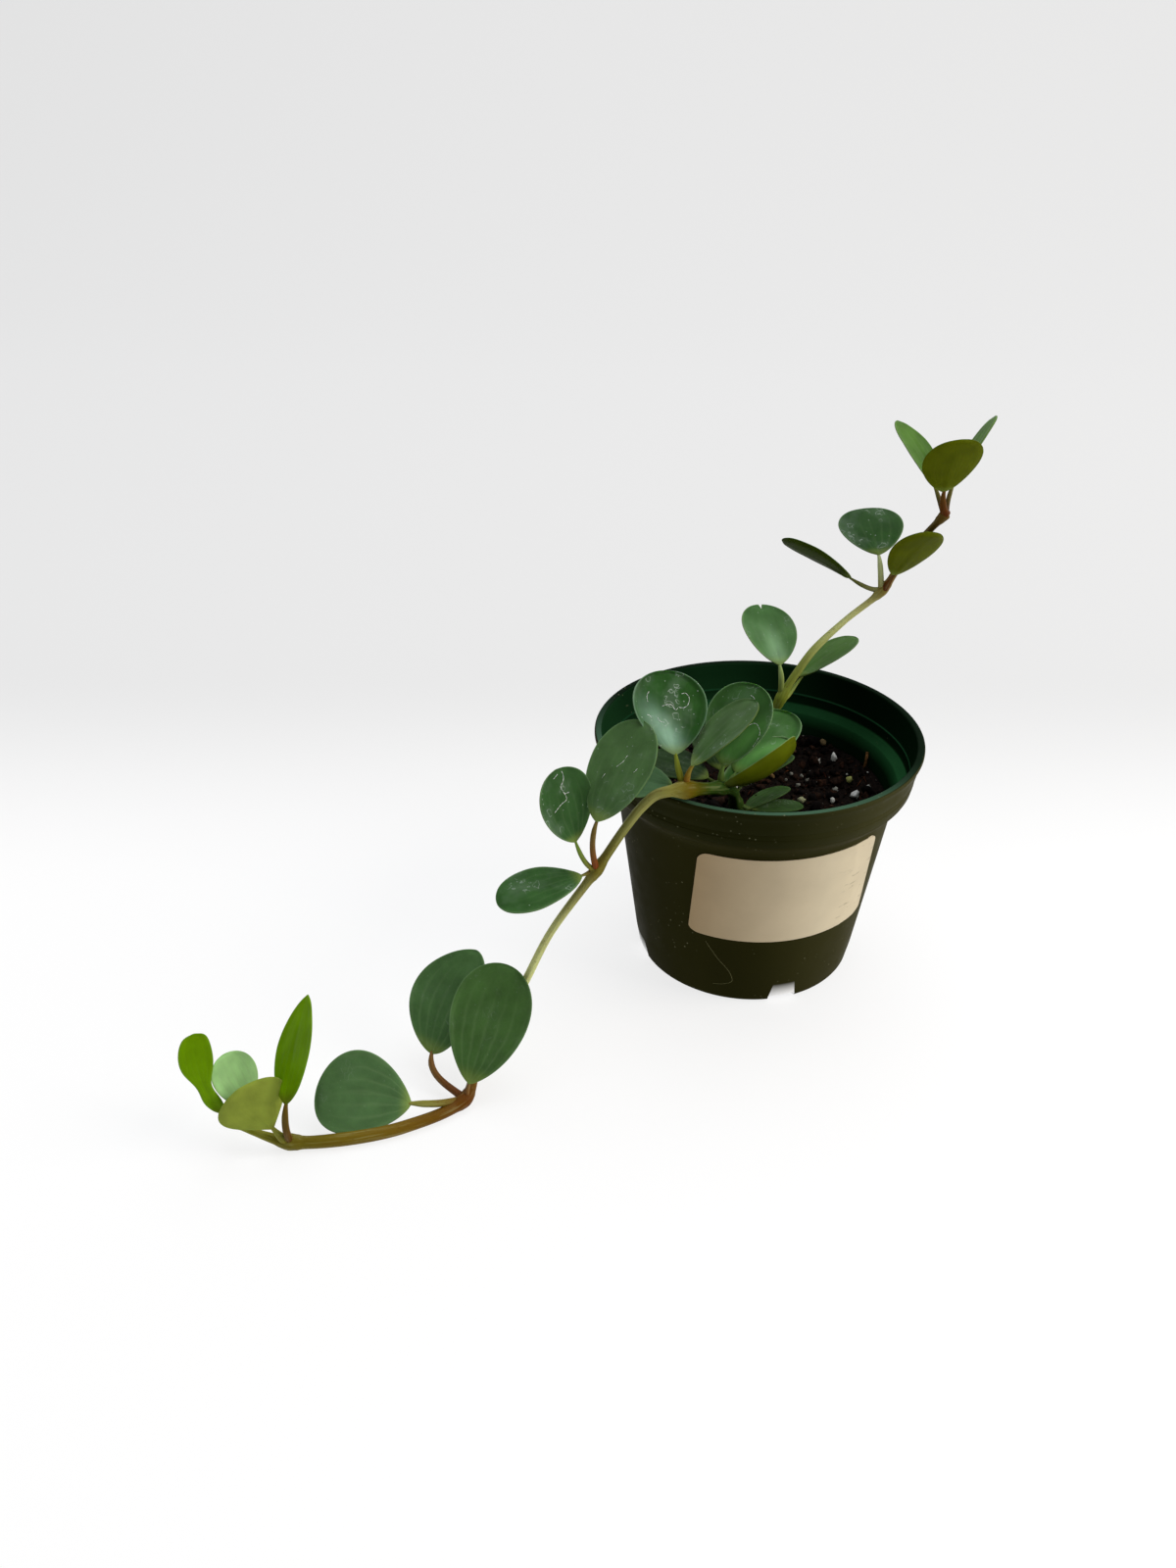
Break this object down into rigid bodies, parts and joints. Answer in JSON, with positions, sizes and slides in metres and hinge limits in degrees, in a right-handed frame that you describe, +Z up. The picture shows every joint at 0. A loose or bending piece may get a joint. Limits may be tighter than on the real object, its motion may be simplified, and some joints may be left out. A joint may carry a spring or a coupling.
{
  "type": "potted hope peperomia",
  "caption": "Round nursery pot filled with potting mix, with a trailing leafy stem that falls over the rim and runs along the ground, a climbing leafy stem and a blank paper label.",
  "frame": {"origin": "on the pot's axis, at the flat underside of its foot", "axes": "+Z up along the pot's axis, -Y towards the side that carries the label, -X towards the side over which the trailing stem falls, +X towards the climbing stem"},
  "size_m": [0.2433, 0.1607, 0.1779],
  "materials": {
    "pot_plastic": "dark green moulded polypropylene, satin, with dust specks and hair scratches",
    "label_paper": "cream label paper, matt, a little creased at its right end",
    "potting_mix": "dark damp peat with bark fibre and white perlite",
    "leafy_stem": "waxy succulent leaves, dark green above and olive below, on pale green to reddish-brown stems"
  },
  "bodies": {
    "root": {"nursery_pot": "pot_plastic", "paper_label": "label_paper", "potting_mix": "potting_mix", "trailing_stem": "leafy_stem", "climbing_stem": "leafy_stem"}
  },
  "joints": []
}
